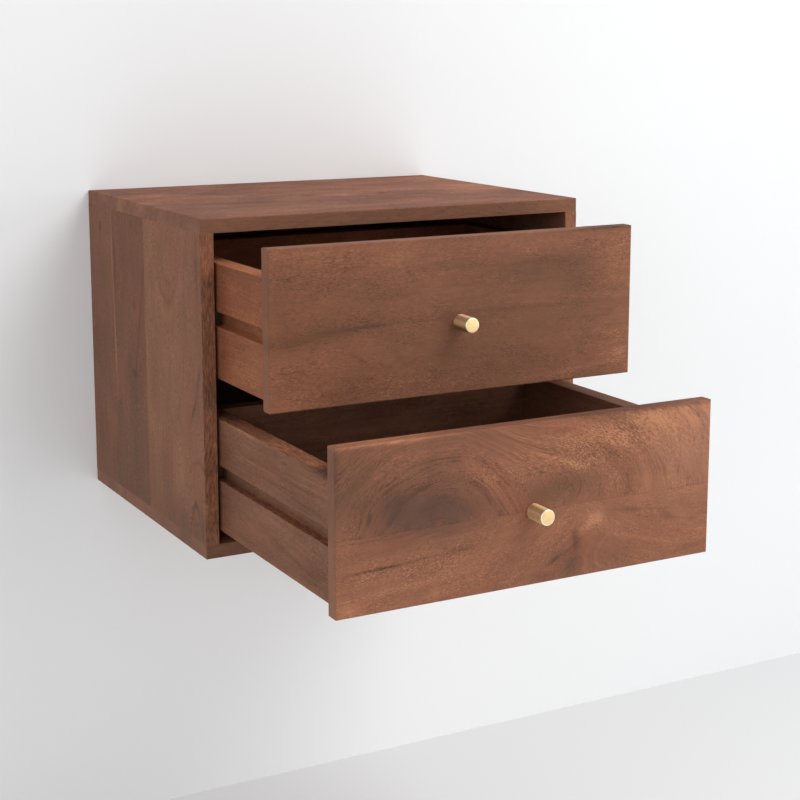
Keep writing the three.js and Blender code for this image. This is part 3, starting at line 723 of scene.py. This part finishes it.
def finish_upper_front():
    eased_board("upper_drawer_front", wood(
        "upper_front_wood", "upper_drawer_front", X, Z, FRONT_TONES, seed=2.0, wave=22.0, bands=0.1,
        streaky=0.2, hairy=0.25, clouds=0.45, mottled=0.25, speck=(3.6, 0.9), speckle=1.15, hue_share=0.1,
        end_stain=(PALE_STAIN, 0.2), edges=[(FRONT_HEIGHT, 24.0, 2.4, 0.5, 0.18, HEART_STAIN, 0.45)],
        # Painted light: the first mark darkens the top left and the second lightens the right end, as the
        # light falls across the front
        marks=[((30.0, 118.0), (80.0, 44.0), 0.0, -0.16), ((420.0, 80.0), (34.0, 90.0), 0.0, 0.12),
               ((60.0, 84.0), (60.0, 16.0), 0.0, -0.09), ((160.0, 115.0), (50.0, 30.0), 0.0, -0.07),
               ((310.0, 115.0), (90.0, 24.0), 0.0, -0.09), ((15.0, 95.0), (16.0, 40.0), 0.0, -0.08),
               ((140.0, 142.0), (20.0, 12.0), 0.0, 0.1),
               ((20.0, 68.0), (46.0, 8.0), 0.05, -0.34), ((60.0, 73.0), (30.0, 3.5), 0.08, -0.3),
               ((90.0, 70.0), (70.0, 26.0), 0.0, -0.06),
               ((105.0, 76.0), (26.0, 2.2), 0.05, -0.36), ((165.0, 78.0), (30.0, 1.6), 0.0, -0.14),
               ((402.0, FRONT_HEIGHT), (46.0, 2.5), 0.0, -0.56),
               ((30.0, 34.0), (30.0, 8.0), 0.0, -0.1), ((97.0, 45.0), (10.0, 3.0), -0.6, -0.2),
               ((85.0, 14.0), (40.0, 9.0), 0.0, -0.14), ((60.0, 122.0), (22.0, 9.0), 0.0, -0.12),
               ((135.0, 104.0), (34.0, 3.0), 0.0, -0.14), ((195.0, 131.0), (36.0, 5.0), 0.0, -0.12),
               ((312.0, 130.0), (40.0, 6.0), 0.0, -0.12), ((285.0, 112.0), (30.0, 14.0), 0.0, -0.08),
               ((360.0, 104.0), (24.0, 9.0), 0.0, -0.14), ((300.0, 82.0), (90.0, 2.0), 0.0, -0.12),
               ((398.0, 92.0), (12.0, 5.0), 0.0, -0.1), ((200.0, 30.0), (80.0, 24.0), 0.0, -0.06),
               ((90.0, 150.0), (90.0, 7.0), 0.0, 0.08), ((15.0, 10.0), (26.0, 8.0), 0.0, 0.15),
               ((372.0, 13.0), (44.0, 2.5), 0.08, 0.18), ((408.0, 24.0), (20.0, 6.0), 0.1, 0.25),
               ((381.0, 52.0), (8.0, 4.0), 0.0, 0.16), ((400.0, 132.0), (30.0, 14.0), 0.0, 0.16)],
        crowds=[((30.0, 34.0), (50.0, 16.0), 0.8), ((110.0, 12.0), (60.0, 12.0), 0.7),
                ((60.0, 130.0), (60.0, 24.0), 0.5), ((390.0, 130.0), (36.0, 22.0), 0.5),
                ((300.0, 90.0), (90.0, 36.0), -0.3)],
        stains=[((50.0, 72.0), (60.0, 5.0), OLIVE_STAIN, 0.35),
                ((310.0, 75.0), (120.0, 70.0), OLIVE_STAIN, 0.35),
                ((150.0, 60.0), (90.0, 60.0), OLIVE_STAIN, 0.15),
                ((0.0, 80.0), (110.0, 120.0), AMBER_STAIN, 0.3)],
    ))


GLUE_LINE_HEIGHT = 73.5
BURL_PLACE = (105.0, 69.0)
BURL_STRETCH = 1.35
BURL_TURN_LENGTH = 70.0
FALL_PLACE = (190.0, 69.0)
FALL_STRETCH = 1.6
FALL_TURN_LENGTH = 95.0
FALL_OFFSET = 50.0
FALL_LEAN = 1.2
RIDGE_PLACE = 262.0
RIDGE_HEIGHT = 80.0
RIDGE_LENGTH = 80.0
RIDGE_ROUNDING = 6.0
FALL_HEIGHT = 100.0
FALL_RANGE = (190.0, 290.0)
RIPPLE_SIZE = (60.0, 40.0)
RIPPLE_HEIGHT = 5.0
FIGURE_BELOW = 0.25


def crotch_flow(grain):
    """Above the glue line the grain runs round a burl left of the knob; below it, it climbs to a crotch."""
    shader = grain.shader
    u, v = grain.u, grain.v
    ripple = shader.noise(u / RIPPLE_SIZE[0], v / RIPPLE_SIZE[1], 0.0, detail=3.0) * RIPPLE_HEIGHT
    above = shader.math("GREATER_THAN", v, GLUE_LINE_HEIGHT)

    # Round the burl the fibres are ellipses, and to its right they belong to longer ones
    def round_place(place, stretch, turn_length):
        beside = (u - place[0]) / stretch
        over = v - place[1]
        return shader.hypot(beside, over), shader.math("ARCTAN2", over, beside) * turn_length

    burl_radius, burl_turn = round_place(BURL_PLACE, BURL_STRETCH, BURL_TURN_LENGTH)
    fall_radius, fall_turn = round_place(FALL_PLACE, FALL_STRETCH, FALL_TURN_LENGTH)
    fall_share = shader.smooth(u + (v - FALL_HEIGHT) * FALL_LEAN, *FALL_RANGE)
    above_side = mixed(fall_share, burl_radius, fall_radius + FALL_OFFSET) + ripple
    above_along = mixed(fall_share, burl_turn, fall_turn)
    # Below, they climb to a ridge where two stems met, and come down beyond it
    from_ridge = shader.hypot(u - RIDGE_PLACE, RIDGE_ROUNDING)
    climb = shader.math("EXPONENT", from_ridge / -RIDGE_LENGTH) * RIDGE_HEIGHT
    grain.side = mixed(above, grain.side - climb, above_side)
    grain.along = mixed(above, grain.along, above_along)
    grain.figure = above * (1.0 - FIGURE_BELOW) + FIGURE_BELOW


def finish_lower_front():
    eased_board("lower_drawer_front", wood(
        "lower_front_wood", "lower_drawer_front", X, Z, FRONT_TONES, seed=4.0, tone=0.6, wave=18.0,
        strips=[(GLUE_LINE_HEIGHT, -0.08)], flow=crotch_flow, bands=0.4, rings=0.3, streaky=0.2, hairy=0.24,
        clouds=0.4, speck=(2.6, 0.85), speckle=1.15, pore=0.14, end_stain=(PALE_STAIN, 0.28),
        marks=[((90.0, 120.0), (110.0, 50.0), 0.0, -0.06), ((40.0, 14.0), (90.0, 14.0), 0.0, -0.07),
               ((100.0, 87.0), (54.0, 29.0), 0.0, -0.34), ((62.0, 97.0), (13.0, 15.0), 0.0, -0.16),
               # Painted shade: the mark at (20, 122) darkens the top left, as the light falls across the
               # front
               ((150.0, 84.0), (18.0, 12.0), 0.0, -0.1), ((20.0, 122.0), (40.0, 36.0), 0.0, -0.24),
               # Painted light: the mark at (385, 148) lightens the top right, as the light falls across the
               # front
               ((110.0, 148.0), (60.0, 14.0), 0.0, -0.08), ((385.0, 148.0), (70.0, 18.0), 0.0, 0.2),
               ((45.0, FRONT_HEIGHT), (70.0, 2.5), 0.0, 0.48),
               ((370.0, FRONT_HEIGHT), (80.0, 2.5), 0.0, -0.5),
               ((0.0, 146.0), (5.0, 22.0), 0.0, -0.22), ((253.0, 14.0), (10.0, 18.0), 0.0, -0.12),
               ((245.0, 92.0), (30.0, 13.0), 0.0, -0.22), ((262.0, 22.0), (44.0, 16.0), 0.0, -0.1),
               ((163.0, 108.0), (18.0, 9.0), -0.8, 0.16), ((190.0, 116.0), (24.0, 8.0), -0.5, 0.14),
               ((232.0, 122.0), (38.0, 10.0), -0.3, 0.22), ((290.0, 137.0), (50.0, 10.0), -0.25, 0.25),
               ((345.0, 148.0), (50.0, 12.0), 0.0, 0.2), ((262.0, 112.0), (16.0, 4.0), -0.4, 0.2),
               # Painted light, on wood that is paler here too: this mark lightens the right end
               ((392.0, 120.0), (60.0, 54.0), 0.0, 0.26),
               ((386.0, 112.0), (1.3, 24.0), 0.0, -0.18, -0.006), ((413.0, 132.0), (1.5, 16.0), 0.0, -0.16),
               ((408.0, 148.0), (4.0, 3.0), -0.6, -0.3),
               ((45.0, 41.5), (30.0, 1.3), 0.02, -0.5), ((90.0, 44.0), (20.0, 1.0), 0.04, -0.25),
               ((132.0, 46.0), (12.0, 3.0), 0.0, -0.22), ((50.0, 71.0), (60.0, 2.0), 0.0, -0.12),
               ((237.0, 22.0), (7.0, 3.0), 0.6, -0.35), ((261.0, 35.0), (5.0, 10.0), 0.0, -0.4),
               ((256.0, 14.0), (12.0, 10.0), 0.0, -0.2), ((330.0, 58.0), (30.0, 1.6), -0.12, -0.2),
               ((372.0, 45.0), (9.0, 4.0), -0.3, -0.25), ((403.0, 38.0), (5.0, 4.0), 0.0, -0.2),
               ((325.0, 18.0), (30.0, 10.0), 0.0, -0.12), ((283.0, 56.0), (9.0, 8.0), 0.3, 0.26),
               ((272.0, 48.0), (9.0, 5.0), 0.4, 0.16),
               ((259.0, 42.0), (3.0, 5.0), 0.0, -0.2), ((228.0, 5.0), (24.0, 5.0), 0.0, -0.25),
               ((246.0, 26.0), (26.0, 1.2), 0.55, -0.2), ((232.0, 34.0), (26.0, 1.0), 0.5, -0.14),
               ((272.0, 14.0), (3.0, 14.0), 0.0, 0.16, 0.02), ((285.0, 16.0), (2.5, 18.0), 0.0, 0.14, 0.03),
               ((404.0, 8.0), (30.0, 3.0), 0.1, -0.16), ((330.0, 30.0), (40.0, 2.0), -0.25, 0.12),
               ((15.0, 8.0), (14.0, 7.0), 0.0, 0.2), ((105.0, 8.0), (8.0, 6.0), 0.0, 0.15),
               ((60.0, 20.0), (50.0, 4.0), 0.08, 0.16)],
        crowds=[((245.0, 124.0), (60.0, 22.0), 1.2), ((320.0, 140.0), (60.0, 16.0), 1.0),
                ((165.0, 108.0), (20.0, 20.0), 0.4), ((80.0, 30.0), (120.0, 36.0), 0.4),
                ((100.0, 88.0), (50.0, 18.0), -0.6), ((350.0, 90.0), (50.0, 16.0), -0.4),
                ((330.0, 30.0), (60.0, 30.0), -0.2), ((225.0, 85.0), (30.0, 14.0), -0.6),
                ((280.0, 54.0), (16.0, 10.0), 1.2)],
        calm=[((320.0, 34.0), (60.0, 24.0), 0.3), ((380.0, 100.0), (50.0, 40.0), 0.4),
              ((95.0, 86.0), (60.0, 22.0), 0.6), ((215.0, 90.0), (40.0, 18.0), 0.6),
              ((60.0, 28.0), (160.0, 34.0), 0.55)],
        stains=[((98.0, 86.0), (54.0, 20.0), HEART_STAIN, 0.45),
                ((60.0, 92.0), (20.0, 20.0), HEART_STAIN, 0.3),
                ((245.0, 92.0), (34.0, 14.0), OLIVE_STAIN, 0.35),
                ((20.0, 120.0), (30.0, 30.0), OLIVE_STAIN, 0.2),
                ((270.0, 20.0), (60.0, 22.0), HEART_STAIN, 0.2),
                ((415.0, 120.0), (50.0, 50.0), PALE_STAIN, 0.3),
                ((283.0, 55.0), (11.0, 9.0), PALE_STAIN, 0.14)],
    ))


SIDE_HEIGHT = 120.0
# The second mark is painted shade, darker where the side goes into the cabinet
UPPER_SIDE_MARKS_AND_SHADE = [((30.0, 30.0), (30.0, 26.0), 0.0, 0.16), ((100.0, 60.0), (14.0, 70.0), 0.0, -0.14)]
LOWER_SIDE_MARKS_AND_SHADE = [((40.0, 99.0), (40.0, 0.7), -0.04, 0.24), ((124.0, 91.5), (22.0, 0.7), 0.0, 0.26),
                    ((172.0, 91.0), (18.0, 0.7), 0.0, 0.24), ((60.0, 94.0), (50.0, 1.2), -0.04, -0.2),
                    ((210.0, 89.0), (16.0, 0.8), -0.06, 0.18), ((40.0, 106.0), (50.0, 0.8), -0.05, 0.16),
                    ((60.0, 78.0), (60.0, 6.0), 0.0, -0.1), ((110.0, 38.0), (110.0, 16.0), 0.0, 0.12),
                    ((30.0, 16.0), (60.0, 10.0), 0.0, -0.12), ((95.0, 25.0), (40.0, 1.0), 0.12, -0.15),
                    # Painted shade: the mark at (245, 60) darkens the far end, which lies in the cabinet's
                    # shadow
                    ((190.0, 9.0), (40.0, 4.0), 0.0, -0.12), ((245.0, 60.0), (40.0, 90.0), 0.0, -0.16),
                    ((70.0, 3.0), (60.0, 2.5), 0.0, 0.15), ((105.0, 84.0), (40.0, 1.4), -0.05, -0.15),
                    ((205.0, 80.0), (50.0, 16.0), 0.0, -0.1), ((195.0, SIDE_HEIGHT), (50.0, 4.0), 0.0, 0.45),
                    ((12.0, SIDE_HEIGHT), (24.0, 4.0), 0.0, -0.5)]
UPPER_TOP_EDGES = [(30.0, 3.0, 1.4, 0.42, RED_STAIN, 0.35), (24.0, 2.4, 0.6, -0.1, RED_STAIN, 0.2)]
LOWER_TOP_EDGES = [(11.0, 2.4, 2.6, 0.08, RED_STAIN, 0.4), (24.0, 2.4, 0.6, -0.1, RED_STAIN, 0.2)]


def finish_fasteners():
    peg = beech("dowel_beech")
    zinc = steel("screw_steel")
    for node in NODES:
        if "dowel" in node:
            finish_node(node, peg)
        if "screw" in node:
            finish_node(node, zinc)


def finish_runners():
    for index, node in enumerate(n for n in sorted(NODES) if n.endswith("_runner")):
        finish_node(node, wood(f"{node}_wood", node, Y, Z, HIDDEN_TONES, seed=RUNNER_SEED + index, tone=0.2))


# Knobs

KNOB_RIM = 1.2 * MM
KNOB_RIM_STEPS = 6
KNOB_BACK_EASE = 0.4 * MM
KNOB_SIDES = 96
KNOB_SHARP_ANGLE = math.radians(50)
SIDE_SLOT, FACE_SLOT = 0, 1


def knob_profile(radius, length):
    """Radius and depth, from the middle of the face, over the rounded rim, to the middle of the back."""
    profile = [(0.0, 0.0), (radius - KNOB_RIM, 0.0)]
    for step in range(1, KNOB_RIM_STEPS + 1):
        angle = math.pi / 2 * step / KNOB_RIM_STEPS
        reach = radius - KNOB_RIM + KNOB_RIM * math.sin(angle)
        profile.append((reach, KNOB_RIM - KNOB_RIM * math.cos(angle)))
    return profile + [(radius, length - KNOB_BACK_EASE), (radius - KNOB_BACK_EASE, length), (0.0, length)]


def knob_ring(form, centre, radius, y):
    """The points of one ring round the knob's axis, or the single point on it."""
    if radius == 0.0:
        return [form.verts.new((centre.x, y, centre.z))]
    turns = [2 * math.pi * side / KNOB_SIDES for side in range(KNOB_SIDES)]
    return [
        form.verts.new((centre.x + radius * math.cos(turn), y, centre.z + radius * math.sin(turn)))
        for turn in turns
    ]


def knob_mesh(name, centre, front, profile):
    """The profile turned round the knob's axis. The face reaches up to the rim's last step."""
    form = bmesh.new()
    rings = [knob_ring(form, centre, radius, front + depth) for radius, depth in profile]
    for step, (near, far) in enumerate(zip(rings, rings[1:])):
        for side in range(KNOB_SIDES):
            after = (side + 1) % KNOB_SIDES
            corners = [(near, side), (near, after), (far, after), (far, side)]
            loop = [ring[place % len(ring)] for ring, place in corners]
            face = form.faces.new(dict.fromkeys(loop))
            face.material_index = FACE_SLOT if step < KNOB_RIM_STEPS else SIDE_SLOT
    bmesh.ops.recalc_face_normals(form, faces=form.faces)
    mesh = bpy.data.meshes.new(name)
    form.to_mesh(mesh)
    form.free()
    for face in mesh.polygons:
        face.use_smooth = True
    mesh.set_sharp_from_angle(angle=KNOB_SHARP_ANGLE)
    return mesh


def make_knob(prefix):
    """A turned brass cylinder with a softly rounded rim."""
    node = f"{prefix}_knob"
    low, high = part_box(node)
    centre = (low + high) / 2
    radius = (high.x - low.x) / 2
    mesh = knob_mesh(f"{prefix}_brass_knob", centre, low.y, knob_profile(radius, high.y - low.y))
    knob = bpy.data.objects.new(f"{prefix}_brass_knob", mesh)
    bpy.context.scene.collection.objects.link(knob)
    mesh.materials.append(brushed_brass(f"{prefix}_brushed_brass", centre))
    mesh.materials.append(faced_brass(f"{prefix}_faced_brass", centre, (radius - KNOB_RIM) / MM))
    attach(knob, prefix)
    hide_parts(node)


# Stage

FLOOR_HEIGHT = -0.69
STAGE_REACH = 9.0
WALL_PLACE = 0.001
STAGE_PAINT = 0xF1F2F2
PAINT_ROUGHNESS = 0.9
PAINT_SHEEN = 0.1
FLOOR_GLOW = 0.08
WALL_GLOW = 0.04
WALL_GLOW_HEIGHTS = (-100.0, -520.0)


def seen_directly(shader):
    """1 where the camera, a mirror or glass sees the surface, and 0 where it lights something else."""
    path = shader.node("ShaderNodeLightPath")
    seen = [Field(shader, path.outputs[f"Is {kind} Ray"]) for kind in ("Camera", "Glossy", "Transmission")]
    return shader.math("MINIMUM", seen[0] + seen[1] + seen[2], 1.0)


def stage_plane(name, corners, glow):
    """A matt white plane, see-through from behind.

    glow gives, from its shader, the light added to what the camera sees of it.
    """
    mesh = bpy.data.meshes.new(name)
    mesh.from_pydata(corners, [], [(0, 1, 2, 3)])
    plane = bpy.data.objects.new(name, mesh)
    bpy.context.scene.collection.objects.link(plane)
    shader = Shader(f"{name}_paint")
    shader.set(Base_Color=linear(STAGE_PAINT), Roughness=PAINT_ROUGHNESS)
    shader.surface.inputs["Specular IOR Level"].default_value = PAINT_SHEEN
    shader.surface.inputs["Emission Color"].default_value = linear(STAGE_PAINT)
    shader.set(Emission_Strength=seen_directly(shader) * glow(shader))
    clear = shader.node("ShaderNodeBsdfTransparent")
    side = shader.node("ShaderNodeNewGeometry")
    choice = shader.node("ShaderNodeMixShader")
    chosen = (side.outputs["Backfacing"], shader.surface.outputs["BSDF"], clear.outputs["BSDF"])
    for socket, value in zip(choice.inputs, chosen):
        shader.feed(socket, value)
    shader.feed(shader.output.inputs["Surface"], choice.outputs[0])
    mesh.materials.append(shader.material)
    plane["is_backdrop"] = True
    return plane


def wall_glow(shader):
    """The foot of the wall is lighter, as where a pale floor throws light up it."""
    height = shader.place((0.0, 0.0, 0.0), X, Z)[1]
    return shader.smooth(height, *WALL_GLOW_HEIGHTS) * WALL_GLOW


def floor_glow(shader):
    return FLOOR_GLOW


def make_stage():
    low, reach, back = FLOOR_HEIGHT, STAGE_REACH, WALL_PLACE
    floor_corners = [(-reach, -reach, low), (reach, -reach, low), (reach, reach, low), (-reach, reach, low)]
    wall_corners = [(-reach, back, low), (reach, back, low), (reach, back, reach), (-reach, back, reach)]
    stage_plane("floor", floor_corners, floor_glow)
    wall = stage_plane("wall", wall_corners, wall_glow)
    # The wall takes shadows, but throws none and lights nothing
    wall.visible_shadow = False
    wall.visible_diffuse = False


# Light

# Each light's place and width in metres, and its power in watts
LIGHTS = {
    "key": ((1.4, -2.4, 2.3), 2.2, 54.0),
    "fill": ((-2.4, -2.4, 0.6), 2.0, 17.0),
    "front": ((0.95, -1.75, 0.05), 0.9, 4.4),
}
SKY = 0xF4F4F6
SKY_STRENGTH = 0.6


def soft_light(name, place, target, size, power):
    light = bpy.data.lights.new(name, "AREA")
    light.shape = "DISK"
    light.size = size
    light.energy = power
    lamp = bpy.data.objects.new(name, light)
    lamp.location = place
    lamp.rotation_euler = (Vector(target) - Vector(place)).to_track_quat("-Z", "Y").to_euler()
    bpy.context.scene.collection.objects.link(lamp)


def make_light():
    world = bpy.data.worlds.new("studio")
    bpy.context.scene.world = world
    world.use_nodes = True
    background = world.node_tree.nodes["Background"]
    background.inputs["Color"].default_value = linear(SKY)
    background.inputs["Strength"].default_value = SKY_STRENGTH
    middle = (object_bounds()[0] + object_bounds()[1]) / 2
    for name, (place, size, power) in LIGHTS.items():
        soft_light(name, place, middle, size, power)


# Camera

CAMERA_PLACE = (-0.8345, -1.8909, 0.2858)
CAMERA_TURN = 28.549
CAMERA_TILT = 9.834
CAMERA_LENS = 73.83
CAMERA_SHIFT = -0.1
SENSOR_WIDTH = 36.0


def make_camera():
    data = bpy.data.cameras.new("camera")
    data.lens = CAMERA_LENS
    data.sensor_width = SENSOR_WIDTH
    data.shift_y = CAMERA_SHIFT
    camera = bpy.data.objects.new("camera", data)
    camera.location = CAMERA_PLACE
    camera.rotation_euler = Euler((math.radians(90 - CAMERA_TILT), 0.0, -math.radians(CAMERA_TURN)))
    bpy.context.scene.collection.objects.link(camera)
    bpy.context.scene.camera = camera


make_camera()
finish_top()
finish_bottom()
finish_left_side()
finish_right_side()
finish_back()
finish_runners()
finish_drawer(
    "upper_drawer", UPPER_BOX_TONES, seed=31.0, top_edges=UPPER_TOP_EDGES, tone=0.56, marks=UPPER_SIDE_MARKS_AND_SHADE
)
finish_drawer(
    "lower_drawer", LOWER_BOX_TONES, seed=41.0, top_edges=LOWER_TOP_EDGES, tone=0.52, marks=LOWER_SIDE_MARKS_AND_SHADE
)
finish_upper_front()
finish_lower_front()
finish_fasteners()
make_knob("upper_drawer")
make_knob("lower_drawer")
make_stage()
make_light()

bpy.context.scene.view_settings.view_transform = "Standard"
